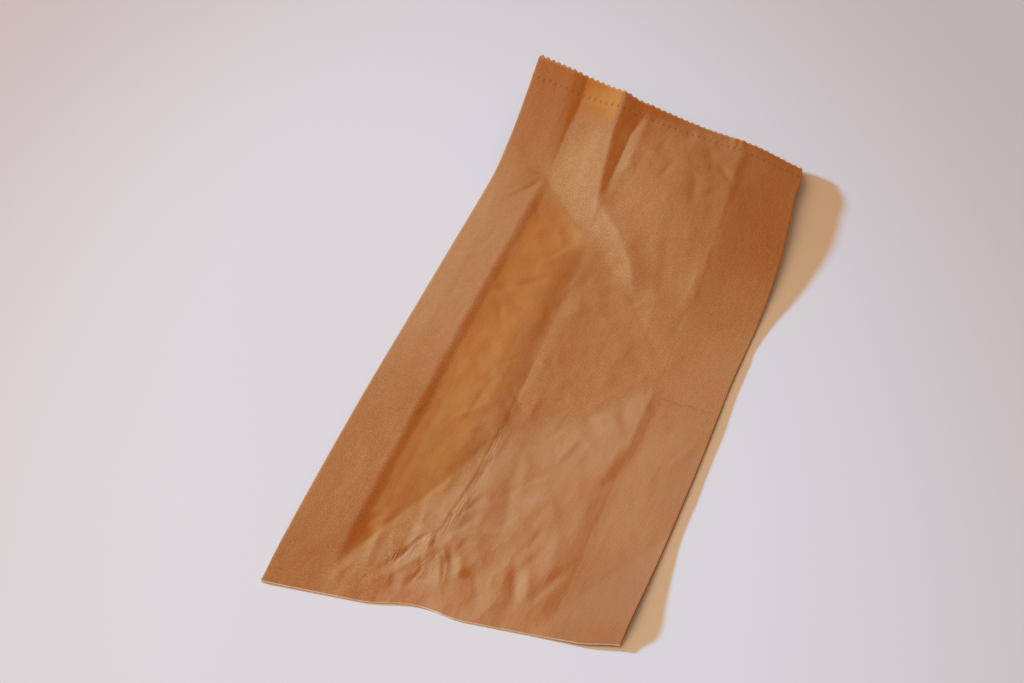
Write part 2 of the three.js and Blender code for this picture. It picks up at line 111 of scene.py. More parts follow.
MOUTH_CREASES = (
    Crease(((-23, 165), (-22.5, 130), (-20, 105), (-17, 85), (-15, 72)), 1.8, (10, 13)),
    Crease(((-13.5, 165), (-13.8, 120), (-15, 84)), -0.5, (5, 6)),
    Crease(((-9.5, 165), (-9.5, 120), (-12, 92)), 0.4, (6, 5.5)),
    Crease(((-44.5, 165), (-44.5, 130), (-46, 102)), -0.9, (12, 7)),
    Crease(((35, 165), (35, 140)), 0.4, (2, 2)),
    Crease(((38.5, 165), (38.5, 140)), 0.4, (3, 2)),
)
BEND_CREASES = (
    Crease(((-57, 100), (-47, 98), (-30, 79.5), (-12, 63)), -1.7, (16, 26)),
    Crease(((-14, 63), (10, 40), (28, 14), (42, -6)), -0.5, (7, 14)),
    Crease(((-18, 86), (-4, 71), (8, 53), (15, 36)), 1.6, (18, 9)),
)
LONG_CREASES = (
    Crease(((-14, 64), (-12.5, 20), (-11.5, 0), (-11, -50)), -0.45, (5, 9)),
    Crease(((-10.6, -30), (-11.4, -56), (-10.9, -84), (-12.8, -104), (-14.4, -118), (-13, -134)), 0.3, (1.6, 6)),
    Crease(((-8, -58), (-8.4, -76)), 0.3, (2, 3)),
    Crease(((-7, -88), (-9.6, -104), (-10.4, -114)), 0.35, (1.8, 4)),
)
RIGHT_CREASES = (
    Crease(((22, 118), (26, 92)), -0.5, (6, 7)),
    Crease(((10, 78), (14, 52)), -0.4, (8, 8)),
    Crease(((19, 48), (29, 30)), 0.5, (5, 6)),
    Crease(((39.5, 150), (40, 30)), 0.5, (7, 9)),
    Crease(((41, -12), (41.5, -66)), 0.6, (5, 8)),
    Crease(((44, -20), (76, -23)), -0.3, (2.5, 3)),
)
FACET_CREASES = (
    Crease(((-47, -142), (-28, -100), (-20, -85), (-11, -56)), -0.7, (11, 15)),
    Crease(((-37, -113), (-34, -141)), 0.6, (4, 3.5)),
    Crease(((17, -37), (31, -38.5), (39, -52)), 0.5, (4, 10)),
    Crease(((39, -52), (36, -80)), 0.45, (5, 9)),
    Crease(((9, -92), (21, -90.5), (29.5, -101)), 0.45, (4, 9)),
    Crease(((29.5, -101), (34.5, -131)), 0.45, (5, 8)),
    Crease(((2, -82), (8, -100), (10, -115)), -0.45, (5, 6)),
    Crease(((-4, -60), (6, -74), (9, -92)), 0.35, (5, 6)),
)
BOTTOM_CREASES = (
    Crease(((-30, -139), (-18, -122)), -0.6, (3, 4)),
    Crease(((-25, -142), (-12, -125)), 0.6, (3, 3.5)),
    Crease(((-6, -98), (-1, -116)), -0.3, (4.5, 4.5)),
    Crease(((-9, -120), (-1, -136)), -0.6, (3, 3)),
    Crease(((-4, -122), (4, -140)), 0.5, (3, 3)),
    Crease(((5, -128), (14, -149)), -0.5, (6, 6)),
    Crease(((18, -120), (27, -146)), -0.7, (5, 4)),
    Crease(((24, -122), (31, -142)), 0.4, (4, 3.5)),
    Crease(((40, -118), (31, -140)), -0.5, (4, 4)),
    Crease(((-58, -136), (-46, -138)), -0.35, (4, 4)),
    Crease(((-46, -150), (-38, -134)), 0.4, (4, 4)),
)
CREASES = MOUTH_CREASES + BEND_CREASES + LONG_CREASES + RIGHT_CREASES + FACET_CREASES + BOTTOM_CREASES

# Painted shade along sharp creases, drawn as a thin dark line: the path and how dark it is
CREASE_SHADE_LINES = (
    (((-11, -10), (-10.2, -30), (-11, -58)), 0.3),
    (((-11, -50), (-10.5, -84), (-12.4, -104), (-14, -118), (-12.6, -134)), 0.6),
    (((-8, -54), (-8.6, -80), (-10.2, -96)), 0.4),
    (((-7, -88), (-9.2, -102), (-9.8, -116)), 0.6),
    (((43, -19.5), (52, -21.5), (62, -21.8), (72, -23)), 0.9),
    (((41.6, 36), (42, -30), (41.6, -90), (42.4, -150)), 0.12),
    (((-13, -112), (-21, -124), (-27, -141)), 0.7),
    (((-12, -122), (-6, -131), (-3, -143)), 0.7),
    (((-17, -127), (-13, -137), (-16, -146)), 0.7),
    (((-30, -128), (-24, -138)), 0.5),
    (((-13.6, 150), (-14, 120), (-15.2, 92)), 0.5),
)
LINE_REACH = 5.0

# The fuller lower half begins at this line across the front panel
FULLNESS_EDGE = (
    (78, 48),
    (45, 29),
    (40, 0),
    (16, -36),
    (-10, -52),
    (-20, -85),
    (-28, -100),
    (-45, -137),
    (-56, -160),
)

# The bag is bent up from the table along this line
BEND_LINE = ((-70, 104), (-47, 99), (-30, 78), (-14, 63), (10, 40), (28, 14), (42, -6))

# Height of the bag off the table: a row for each place along it, a column for each place across it
LIFT_ACROSS = (-70, -45, -26, -10, 15, 42, 70)
LIFT_ALONG = (-153.5, -20, 20, 50, 75, 95, 110, 125, 140, 153.5)
LIFT = (
    (0, 0, 0, 0, 0, 0, 0),
    (0, 0, 0, 0, 0, 0, 0),
    (0, 0, 0, 0, 0, 0.8, 0),
    (0, 0, 0, 0, 1.9, 3.5, 1.2),
    (0.2, 0.2, 1.1, 3.8, 7.4, 7.3, 2.6),
    (1.6, 0.9, 5.6, 8.2, 10.2, 9.0, 3.8),
    (6.2, 4.6, 9.0, 10.7, 11.3, 9.6, 4.4),
    (13.0, 10.2, 11.8, 12.4, 11.9, 9.7, 4.6),
    (21.4, 17.2, 15.6, 14.2, 12.0, 9.6, 4.4),
    (30.0, 24.4, 20.0, 16.6, 11.6, 8.4, 3.2),
)

# Where the table is palest, how its paler part is turned, and how far it runs: a painted pool of light, with
# painted shade further out
TABLE_MIDDLE = (-0.036, -0.077, 0)
TABLE_TURN = (0, 0, 0.35)
TABLE_SPREAD = (0.22, 0.4, 1)


def length(name, description, millimetres):
    """A length property of the sidebar, given in millimetres."""
    return bpy.props.FloatProperty(
        name=name, description=description, default=millimetres * MM, unit="LENGTH", precision=4
    )


def colour(name, description, value):
    """A colour property of the sidebar."""
    return bpy.props.FloatVectorProperty(
        name=name, description=description, default=value, size=3, subtype="COLOR", min=0, max=1
    )


class BagSizes(bpy.types.PropertyGroup):
    """Sizes of the folded bag and of the way it lies."""

    width: length("Width", "Width of the flat bag", 140)
    length: length("Length", "Length of the flat bag, from the bottom fold to the mouth", 307)
    gusset_left: length("Left gusset", "Depth of the left gusset", 25)
    gusset_right: length("Right gusset", "Depth of the right gusset", 28)
    paper: length("Paper", "Thickness of the paper", 0.08)
    ply_gap: length("Ply gap", "Distance from ply to ply in the body of the bag", 0.5)
    pressed_gap: length("Pressed gap", "Distance from ply to ply at the bottom fold", 0.11)
    pressed_run: length("Pressed run", "Length over which the plies come together", 14)
    seam_edge: length("Seam edge", "Place across the back of the lapped seam's free edge", 9)
    seam_lap: length("Seam lap", "Width of the glued lap", 12)
    seam_settle: length("Seam settle", "Run over which the inner ply comes down off the lap", 5)
    flap: length("Flap", "Length that is folded under and glued at the bottom", 18)
    flap_height: length("Flap height", "Thickness of the folded plies of the flap", 0.3)
    flap_settle: length("Flap settle", "Run over which the back comes down off the flap", 9)
    tooth_pitch: length("Tooth pitch", "Distance from tooth to tooth of the pinked mouth", 3)
    tooth_depth: length("Tooth depth", "Depth of the pinked teeth", 1.1)
    front_cut_back: length("Front cut back", "How far the front ply ends short of the back", 1.4)
    right_corner_rise: length("Right corner", "Height of the bottom's turned-up right corner", 2.2)
    left_corner_rise: length("Left corner", "Height of the bottom's turned-up left corner", 0.2)
    bottom_arch_rise: length("Bottom arch", "Height of the arch in the bottom fold", 0.1)
    bottom_arch_back: length("Bottom arch back", "How far the bottom fold is drawn back at its arch", 2.8)
    bottom_draw_in: length("Bottom draw-in", "How far the bottom's sides are drawn in", 2.3)
    mouth_draw_in: length("Mouth draw-in", "How far the mouth's sides are drawn in", 1.7)
    right_bow: length("Right bow", "How far the right side bows out", 2.3)
    shoulder_bow: length("Shoulder bow", "How far the right side bows out below the mouth", 3.2)
    left_strip_rise: length("Left strip", "Height of the front over the left gusset's inner fold", 2.4)
    left_step: length("Left step", "Drop of the front just inside the left gusset", 1.6)
    left_open: length("Left opening", "How far the left gusset stands open in the lower half", 1.1)
    hollow: length("Hollow", "Depth of the front panel's hollow in the middle", 1.2)
    fullness: length("Fullness", "Height of the fuller lower half", 1.6)
    fullness_run: length("Fullness run", "Run over which the fuller half rises", 40)
    corner_blunt: length("Blunt corner", "How far the mouth's right corner is worn back", 2.2)
    left_peek: length("Left peek", "How far the back shows beside the front at the lower left side", 1.3)
    strip_edge: length("Strip edge", "Width of the step beside a gusset", 5)
    crumple: length("Crumple", "Height of the fine crumpling", 0.24)
    bottom_slant: bpy.props.FloatProperty(
        name="Bottom slant", description="How far the bottom lies askew", default=math.radians(6.4), unit="ROTATION"
    )
    mouth_slant: bpy.props.FloatProperty(
        name="Mouth slant", description="How far the mouth lies askew", default=math.radians(-3.5), unit="ROTATION"
    )


class KraftFinish(bpy.types.PropertyGroup):
    """Colours and grain of the kraft paper, with the colours of its painted shade, highlights and glow."""

    light: colour("Light fibre", "Colour of the paler fibres", (0.635, 0.281, 0.109))
    dark: colour("Dark fibre", "Colour of the darker fibres", (0.545, 0.211, 0.067))
    glow: colour("Glow", "Colour of light that comes through the paper", (0.80, 0.36, 0.09))
    # Wear along ridges, and wear with a painted highlight along the side folds
    worn: colour("Worn crease", "Colour of the raised fibres along a ridge", (0.68, 0.37, 0.19))
    # Painted light: a warmer, fuller orange where the front lies tight on the back, also laid in the painted glow
    # at the mouth
    tight: colour("Tight front", "Colour of the front where it lies tight on the back", (0.90, 0.40, 0.10))
    # Painted light: a paler, cooler tone over the fuller lower half and the lower left strip
    loose: colour("Loose front", "Colour of the front where it stands clear of the back", (0.715, 0.365, 0.175))
    # Painted glow of the two plies at the mouth
    lit_through: colour("Lit through", "Colour of two plies at the mouth with light behind", (0.86, 0.44, 0.12))
    # Painted shade laid in crease valleys and in half-shaded places
    painted_shade: colour("Deep tone", "Colour of the paper in valleys and shaded places", (0.40, 0.115, 0.028))
    # Painted shade along the sharp creases
    line: colour("Crease line", "Colour of the thin line along a sharp crease", (0.28, 0.10, 0.034))
    tick: colour("Tick", "Colour of the crimped ticks", (0.22, 0.075, 0.025))
    # Painted highlight along the bottom fold
    bottom_fold_highlight: colour("Bottom fold", "Colour of the worn bottom fold", (1.0, 0.86, 0.70))
    rim: colour("Cut rim", "Colour of the thin cut edge at the mouth", (0.92, 0.68, 0.42))
    rib_pitch: length("Rib pitch", "Distance from rib to rib of the ribbed paper", 0.95)
    tick_line: length("Tick line", "Distance of the crimped ticks from the mouth", 10.8)


class StageLook(bpy.types.PropertyGroup):
    """Table, light and camera."""

    table: colour("Table", "Colour of the table top about the bag", (0.785, 0.75, 0.768))
    # Painted shade: the colour the table darkens to further out, where light falls off
    table_painted_falloff: colour("Table far", "Colour of the table top further out", (0.645, 0.54, 0.515))
    key: bpy.props.FloatProperty(name="Key", description="Strength of the low light from the left", default=8.0)
    key_tint: colour("Key tint", "Colour of the low light from the left", (0.205, 0.605, 0.985))
    key_place: bpy.props.FloatVectorProperty(
        name="Key place", description="Where the low light comes from", default=(-1.68, 0.10, 0.437), unit="LENGTH"
    )
    key_soft: bpy.props.FloatProperty(
        name="Key softness",
        description="Angle over which the low light spreads",
        default=math.radians(4),
        unit="ROTATION",
    )
    fill: bpy.props.FloatProperty(name="Fill", description="Strength of the light all round", default=0.40)
    fill_tint: colour("Fill tint", "Colour of the light all round and of the warm light", (1.0, 0.65, 0.362))
    warm_power: bpy.props.FloatProperty(
        name="Warm power", description="Power of the large warm light above", default=17.5, unit="POWER"
    )
    warm_place: bpy.props.FloatVectorProperty(
        name="Warm place", description="Where the large warm light hangs", default=(-0.9, -0.5, 1.5), unit="LENGTH"
    )
    camera: bpy.props.FloatVectorProperty(
        name="Camera", description="Where the camera stands", default=(0.1465, -0.4772, 0.4975), unit="LENGTH"
    )
    aim: bpy.props.FloatVectorProperty(
        name="Aim", description="What the camera looks at", default=(-0.0251, -0.0063, 0.0), unit="LENGTH"
    )
    lens: bpy.props.FloatProperty(name="Lens", description="Focal length in millimetres", default=57.56)


def smooth(value, low, high):
    """0 below low, 1 above high and an even rise between them."""
    share = np.clip((value - low) / (high - low), 0, 1)
    return share * share * (3 - 2 * share)


def band(value, low, rise_end, fall_start, high):
    """0 outside low and high, and 1 from the end of the rise to the start of the fall."""
    return smooth(value, low, rise_end) * (1 - smooth(value, fall_start, high))


def hump(distance, half_width):
    """A bump of height 1 at the centre that comes down level at the half width."""
    return np.clip(1 - (distance / half_width) ** 2, 0, 1) ** 2


def flowing(marks, values, at):
    """A curve that flows through a value at each mark; a value is a number or an array as long as at."""
    marks = np.asarray(marks, dtype=float)
    table = np.stack([np.broadcast_to(value, at.shape) for value in values])
    step = np.diff(marks)
    slope = np.diff(table, axis=0) / step[:, None]
    lean = np.concatenate((slope[:1], (slope[1:] + slope[:-1]) / 2, slope[-1:]))
    span = np.clip(np.searchsorted(marks, at, side="right") - 1, 0, len(marks) - 2)
    share = np.clip((at - marks[span]) / step[span], 0, 1)
    here, each = step[span], np.arange(at.size)
    start, stop = table[span, each], table[span + 1, each]
    lean_start, lean_stop = lean[span, each] * here, lean[span + 1, each] * here
    ease = share * share * (3 - 2 * share)
    return start + (stop - start) * ease + (share - 1) * share * (
        (share - 1) * lean_start + share * lean_stop
    )


def nearest_on_path(path, x, y):
    """Distance to a path, the side of it and the length along it, for each place."""
    nearest = np.full(x.shape, np.inf)
    side = np.ones(x.shape)
    along = np.zeros(x.shape)
    total = 0.0
    for (ax, ay), (bx, by) in zip(path, path[1:]):
        dx, dy = bx - ax, by - ay
        run = math.hypot(dx, dy)
        share = np.clip(((x - ax) * dx + (y - ay) * dy) / run**2, 0, 1)
        distance = np.hypot(x - ax - share * dx, y - ay - share * dy)
        closer = distance < nearest
        nearest = np.where(closer, distance, nearest)
        side = np.where(closer, np.sign(dx * (y - ay) - dy * (x - ax)), side)
        along = np.where(closer, total + share * run, along)
        total += run
    return nearest, side, along, total


def crease_height(crease, x, y):
    """Height that a crease adds, and its line for each place: paler with wear along a ridge, painted shade along a
    valley.
    """
    distance, side, along, total = nearest_on_path(crease.path, x, y)
    fade = min(CREASE_FADE, 0.4 * total)
    end = smooth(np.minimum(along, total - along), -1.0, fade)
    flank = np.where(side > 0, *crease.reach)
    height = crease.rise * end * np.clip(1 - distance / flank, 0, 1) ** 1.5
    line = np.clip(crease.rise, -1, 1) * end * np.exp(-((distance / CREASE_LINE) ** 2))
    return height, line


def crease_shade_lines(x, y):
    """Distance to the nearest crease line of painted shade, plus on its left, and how dark the painted shade is
    there.
    """
    nearest = np.full(x.shape, LINE_REACH)
    dark = np.zeros(x.shape)
    for path, strength in CREASE_SHADE_LINES:
        distance, side, along, total = nearest_on_path(path, x, y)
        end = smooth(np.minimum(along, total - along), 0, min(CREASE_FADE, 0.4 * total))
        closer = distance < np.abs(nearest)
        nearest = np.where(closer, side * distance, nearest)
        dark = np.where(closer, strength * end * (1 - smooth(distance, 0.5 * LINE_REACH, LINE_REACH)), dark)
    return nearest, dark


def painted_half_shade(x, y):
    """How much painted shade deepens the front's tone: an area for each place that lies in half shade."""
    shoulder = band(x, 8, 22, 40, 46) * band(y, 10, 45, 128, 150)
    low_left = (1 - smooth(x, -52, -34)) * smooth(-y, 100, 140)
    low_right = smooth(x, 38, 48) * smooth(-y, 88, 125)
    middle = hump(x - 3, 20) * band(y, -48, -20, 45, 70)
    beside_long_crease = hump(x + 5, 19) * band(-y, 32, 56, 128, 146)
    hollow_edge = hump(x + 14, 9) * band(y, -72, -44, 40, 62)
    bend_foot = hump(x + 5, 11) * hump(y - 48, 22)
    right_fold = hump(x - 46, 10) * band(y, 18, 42, 112, 138)
    right_side = smooth(x, 52, 64) * hump(y + 70, 42)
    upper = shoulder + 1.4 * hollow_edge + 1.2 * bend_foot + 1.1 * right_fold + 0.4 * middle
    return upper + low_left + 1.7 * low_right + 1.3 * beside_long_crease + 1.2 * right_side


class BagForm:
    """The bag's shape, in millimetres: where each place of the flat blank lies once it is folded."""

    def __init__(self, sizes):
        for name in sizes.bl_rna.properties.keys():
            value = getattr(sizes, name)
            if isinstance(value, float):
                setattr(self, name, value if name.endswith("slant") else value / MM)
        self.half = self.width / 2
        self.bottom = -self.length / 2
        self.mouth = self.length / 2
        self.left_fold = self.gusset_left - self.half
        self.right_fold = self.half - self.gusset_right
        self.column_x, self.column_ply = self.fold_lines()
        step = np.hypot(np.diff(self.column_x), np.diff(self.column_ply) * self.ply_gap)
        self.column_s = np.concatenate(([0.0], np.cumsum(step)))
        self.row_t = self.cross_lines()
        self.blank_width = self.column_s[-1]
        self.blank_length = self.row_t[-1] - self.row_t[0]

    def fold_lines(self):
        """Lines along the blank: where each lies across the folded bag, and on which ply.

        The sheet starts at the outer ply's free edge on the back and ends under it, at the inner one's.
        """
        half, radius = self.half, self.ply_gap / 2
        plies = (
            (0, self.seam_edge, -half, INNER_STEP),
            (1, -half, self.left_fold, INNER_STEP),
            (2, self.left_fold, -half, INNER_STEP),
            (FRONT_PLY, -half, half, FRONT_STEP),
            (2, half, self.right_fold, INNER_STEP),
            (1, self.right_fold, half, INNER_STEP),
            (0, half, self.seam_edge - self.seam_lap, INNER_STEP),
        )
        lines = []
        for number, (ply, start, end, step) in enumerate(plies):
            way = math.copysign(1, end - start)
            first = start + (way * radius if number > 0 else 0)
            last = end - (way * radius if number + 1 < len(plies) else 0)
            marks = np.arange(-half, half, step)
            clear = marks[(marks > min(first, last) + radius) & (marks < max(first, last) - radius)]
            lines += [(x, ply) for x in (first, *sorted(clear, key=lambda x: way * x), last)]
            if number + 1 < len(plies):
                rise = plies[number + 1][0] - ply
                for angle in map(math.radians, FOLD_ANGLES):
                    lines.append((last + way * radius * math.sin(angle), ply + rise * (1 - math.cos(angle)) / 2))
        return np.array(lines).T

    def cross_lines(self):
        """Lines across the blank, from the flap's free edge to the mouth, as lengths along the bag."""
        start = self.bottom - self.flap
        last = self.mouth - self.tooth_depth - self.front_cut_back - LENGTH_STEP / 4
        flap = np.linspace(start, self.bottom - NOSE_HALF, round(self.flap / FLAP_STEP) + 1)
        nose = np.linspace(self.bottom - NOSE_HALF, self.bottom + NOSE_HALF, NOSE_ROWS + 2)
        body = np.linspace(self.bottom + NOSE_HALF, last, round(self.length / LENGTH_STEP))
        return np.concatenate((flap, nose[1:-1], body, [self.mouth]))

    def pinked(self, s, t):
        """Places along the blank after its two ends are cut by the pinking knife."""
        x, ply = self.across(s)
        phase = (x + self.half) / self.tooth_pitch
        tooth = self.tooth_depth * np.abs(2 * (phase - np.floor(phase)) - 1)
        t = np.where(t >= self.row_t[-1] - 1e-3, t - tooth - self.front_cut_back * ply / FRONT_PLY, t)
        return np.where(t <= self.row_t[0] + 1e-3, t + tooth, t)

    def across(self, s):
        """Place across the folded bag, and ply, of a place across the blank."""
        return np.interp(s, self.column_s, self.column_x), np.interp(s, self.column_s, self.column_ply)

    def gap(self, x, y):
        """Distance from ply to ply; the right gusset lies pressed flat in the lower half."""
        loose = smooth(y, self.bottom, self.bottom + self.pressed_run)
        flat = 1 - 0.62 * smooth(x, -10, self.right_fold + 2) * (1 - smooth(y, 15, 70))
        return self.pressed_gap + (self.ply_gap * flat - self.pressed_gap) * loose

    def strips(self, x):
        """How far a place is over the left gusset, over the right gusset and between them."""
        left = 1 - smooth(x, self.left_fold, self.left_fold + self.strip_edge)
        right = smooth(x, self.right_fold - self.strip_edge, self.right_fold)
        return left, right, 1 - left - right

    def freed(self, x, y):
        """How far a place stands in the fuller lower half: 0 at its edge line and 1 well inside it."""
        distance, side, _, _ = nearest_on_path(FULLNESS_EDGE, x, y)
        share = np.clip(side * distance / self.fullness_run, 0, 1)
        return share * (1 + 0.5 * share - 0.5 * share * share)

    def full(self, x, y):
        """Height of the fuller lower half, which comes down to the pressed bottom in a round."""
        pillow = 1 - np.clip(1 - (y - self.bottom) / 34, 0, 1) ** 2
        kept = 1 - 0.6 * smooth(x, self.right_fold - 8, self.right_fold + 3)
        kept *= 1 - 0.35 * smooth(y, -62, -30) * (1 - smooth(x, 38, 60))
        return self.fullness * self.freed(x, y) * pillow * kept

    def gusset_rise(self, x, y):
        """How far a gusset's upper ply follows the front: not at its inner fold, and wholly at the side."""
        from_left, from_right = (self.left_fold - x) / self.gusset_left, (x - self.right_fold) / self.gusset_right
        rise = self.full(x, y) * np.clip(np.maximum(from_left, from_right), 0, 1)
        return rise + self.left_open * self.opened(y) * np.clip(from_left, 0, 1)

    def opened(self, y):
        """How far the left gusset stands open along the bag."""
        return (1 - smooth(y, *HALVES_MEET)) * self.unpressed(y)

    def unpressed(self, y):
        """How far the front is free of the pressed bottom."""
        return smooth(y, self.bottom + 4, self.bottom + 34)

    def tent(self, x, y):
        """Height of the front across the bag: the strip stands up to the left fold, with a hollow beside it."""
        strip, step, rest, fold = self.left_strip_rise, self.left_step, self.left_open, self.left_fold - 1.5
        profile = (
            (-self.half, 0, rest),
            (-self.half + 9, 0.5 * strip, rest),
            (fold, strip, rest),
            (fold + 3.5, strip - 0.45 * step, rest - 0.6 * step),
            (fold + 8.5, strip - 0.8 * step, rest - step),
            (-30, 0.4, -0.6),
            (-24, 0, -0.6),
            (-14, -0.9, -0.8),
            (8, -1.2, -1.2),
            (24, -self.hollow, -self.hollow),
            (self.right_fold, -0.8, -0.4),
        )
        places, in_upper, in_lower = zip(*profile)
        upper = smooth(y, *HALVES_MEET)
        tent = np.interp(x, places, in_upper) * upper + np.interp(x, places, in_lower) * (1 - upper)
        tent *= (1 - 0.6 * smooth(y, 80, 120)) * self.unpressed(y)
        room = 0.85 * (self.gap(x, y) / self.ply_gap) ** 1.5
        return np.where(tent < 0, tent * room, tent)

    def creased(self, x, y, panel):
        """Height that all creases and the crumpling add, and their lines: wear along ridges, painted shade along
        valleys.
        """
        height, strewn, lines = np.zeros(x.shape), np.zeros(x.shape), np.zeros(x.shape)
        for crease in CREASES:
            rise, line = crease_height(crease, x, y)
            height += rise
            lines += line
        for crease in small_creases():
            rise, line = crease_height(crease, x, y)
            strewn += rise
            lines += line * panel
        height += STREWN_MOST * np.tanh(strewn / STREWN_MOST) * (0.35 + 0.65 * panel)
        return height + self.crumple * crumpled(x, y) * (0.4 + 0.6 * panel), lines

    def relief(self, x, y):
        """Height of the front panel over its flat place, its crease lines of wear, painted shade and painted
        highlight, and the painted light of its tone where it lies tight and where it stands loose.
        """
        left, right, panel = self.strips(x)
        clear = self.freed(x, y)
        height, lines = self.creased(x, y, panel)
        height += self.full(x, y) + self.tent(x, y) * (1 - clear)
        lowest = self.gusset_rise(x, y) - self.gap(x, y) * (0.4 + 2.2 * panel)
        height = np.maximum(lowest, height * smooth(y, self.bottom, self.bottom + 7))
        distance, side, _, _ = nearest_on_path(BEND_LINE, x, y)
        below = panel * (1 - smooth(clear, 0, 0.12)) * (1 - smooth(side * distance, -2, 3))
        # Painted light: the hollow below the bend, where the front lies tight, takes a warmer, fuller orange
        # (positive); the fuller lower half and the lower left strip take a paler, cooler tone (negative)
        tight = below * (0.15 + 0.85 * (1 - smooth(x, -28, -10)) * (1 - smooth(y, 70, 105)))
        tight -= smooth(clear, 0.02, 0.4) * (1 - 0.7 * right * smooth(y, -70, -20))
        tight -= 0.4 * left * smooth(y, -90, 0)
        # Paler line along the side folds: wear and a painted highlight
        lines += 0.6 * np.exp(-(((self.half - np.abs(x)) / 0.8) ** 2))
        # Painted shade: the half-shaded areas and the lower part of the hollow are darkened
        lines -= 0.5 * painted_half_shade(x, y) + 0.6 * below * smooth(-y, 30, 75)
        return height, lines, tight

    def crushed(self, x, y):
        """How finely crushed the front is: most beside the long crease and above the bottom fold."""
        distance, _, _, _ = nearest_on_path(LONG_CREASES[1].path, x, y)
        beside = (1 - smooth(distance, 3, 20)) * smooth(-y, 35, 75)
        above = smooth(-y, 98, 128) * (1 - smooth(x, 20, 50)) * smooth(x, -50, -34)
        return 0.12 + 0.88 * np.clip(beside + above, 0, 1)

    def lift(self, x, y):
        """How far the whole bag is lifted off the table."""
        up = np.maximum(0, y - self.bottom)
        columns = [flowing(LIFT_ALONG, heights, y) for heights in zip(*LIFT)]
        rise = np.maximum(0, flowing(LIFT_ACROSS, columns, x))
        rise += self.bottom_arch_rise * hump(x + 10, 20) * np.maximum(0, 1 - up / 48) ** 1.4
        curl = self.right_corner_rise * np.maximum(0, 1 - (self.half - x) / 34 - up / 60)
        rise += curl * (0.45 + 0.55 * smooth(up, 0, 13))
        rise += self.left_corner_rise * np.maximum(0, 1 - (self.half + x) / 34 - up / 36)
        return rise

    def outline(self, x, y):
        """Where a place on the flat bag lies on the table, seen from above."""
        share = (y - self.bottom) / self.length
        slant = math.tan(self.bottom_slant) * (1 - share) + math.tan(self.mouth_slant) * share
        draw_in = self.bottom_draw_in * np.maximum(0, 1 - 2 * share) ** 2
        draw_in += self.mouth_draw_in * np.maximum(0, 2 * share - 1) ** 2
        bow = self.right_bow * 4 * share * (1 - share) + self.shoulder_bow * hump(y - 69, 84)
        bow += self.corner_blunt * 0.6 * hump(y - 141, 16)
        blunt = self.corner_blunt * smooth(x, 44, self.half) * smooth(y, 128, self.mouth)
        blunt -= self.corner_blunt * smooth(x, 54, self.half) * (1 - smooth(y, self.bottom, self.bottom + 30))
        blunt -= self.bottom_arch_back * hump(x + 10, 20) * np.clip(1 - (y - self.bottom) / 48, 0, 1) ** 1.4
        return x * (1 - draw_in / self.half) + (x + self.half) / self.width * bow, y + x * slant - blunt

    def folded(self, s, t):
        """Where places of the blank lie on the folded bag, its lines of wear, painted shade and painted highlight,
        and the painted light of the front where it lies tight and at the mouth.
        """
        x, ply = self.across(s)
        turn = np.pi * np.clip((self.bottom + NOSE_HALF - t) / (2 * NOSE_HALF), 0, 1)
        y = np.where(t < self.bottom - NOSE_HALF, 2 * self.bottom - t, np.maximum(t, self.bottom + NOSE_HALF))
        over_flap = self.flap_height * (
            1 - smooth(y, self.bottom + self.flap, self.bottom + self.flap + self.flap_settle)
        )
        on_lap = (s > self.blank_width / 2) & (ply < 0.5)
        lap = np.where(on_lap, self.paper * (1 - smooth(x, self.seam_edge, self.seam_edge + self.seam_settle)), 0)
        body = over_flap + self.paper / 2 + ply * self.gap(x, y) + lap
        under = self.flap_height - self.paper / 2 - (ply + lap) * self.flap_height / 4
        z = body + (under - body) * (1 - np.cos(turn)) / 2
        y = y - np.sin(turn) * (body - under) / 2
        relief, lines, tight = self.relief(x, y)
        front = np.clip(ply - FRONT_PLY + 1, 0, 1) * (turn < 0.1)
        # Painted glow of the two plies at the mouth, between the left gusset and the hollow
        tight = np.where((x > self.left_fold + 1) & (x < -25), np.maximum(tight, 2 * smooth(y, 128, 148)), tight)
        gusset = self.gusset_rise(x, y) * (ply > 1) * (turn < 0.1)
        z += self.lift(x, y) + gusset + (relief - gusset) * front
        x = x - self.left_peek * (1 - ply / FRONT_PLY) * hump(y + 85, 75) * smooth(-x, 30, self.half)
        px, py = self.outline(x, y)
        return np.stack((px, py, z), 1), lines * front, tight * front


def small_creases():
    """Short, shallow creases strewn over the front, most of them along it or aslant."""
    strew = np.random.default_rng(SMALL_CREASE_SEED)
    creases = []
    for _ in range(SMALL_CREASES):
        x, y = strew.uniform(-66, 66), strew.uniform(-146, 146)
        run, turn = strew.uniform(4, 14), strew.normal(1.75, 0.6)
        dx, dy = run * math.cos(turn), run * math.sin(turn)
        rise = strew.choice((-1, 1)) * strew.uniform(0.12, 0.42)
        creases.append(Crease(((x - dx, y - dy), (x + dx, y + dy)), rise, tuple(strew.uniform(1.8, 5.5, 2))))
    for _ in range(CRUSHED_CREASES):
        x, y = strew.uniform(-40, 8), strew.uniform(-148, -106)
        run, turn = strew.uniform(2, 7), strew.normal(0.9, 0.9)
        dx, dy = run * math.cos(turn), run * math.sin(turn)
        rise = strew.choice((-1, 1)) * strew.uniform(0.18, 0.5)
        creases.append(Crease(((x - dx, y - dy), (x + dx, y + dy)), rise, tuple(strew.uniform(1.6, 3.4, 2))))
    return tuple(creases)


def crumpled(x, y):
    """Fine, sharp-ridged crumpling between -1 and 1, longer along the bag than across."""
    places = zip((x / 19).tolist(), (y / 30).tolist())
    ridged = [noise.ridged_multi_fractal((u, v, 3.7), 1.0, 2.1, 3, 1.0, 2.0) for u, v in places]
    return np.clip(np.array(ridged) - 1.0, -1, 1)


def vertex_places(mesh):
    """Coordinates of a mesh's vertices, one row each."""
    places = np.empty(len(mesh.vertices) * 3)
    mesh.vertices.foreach_get("co", places)
    return places.reshape(-1, 3)


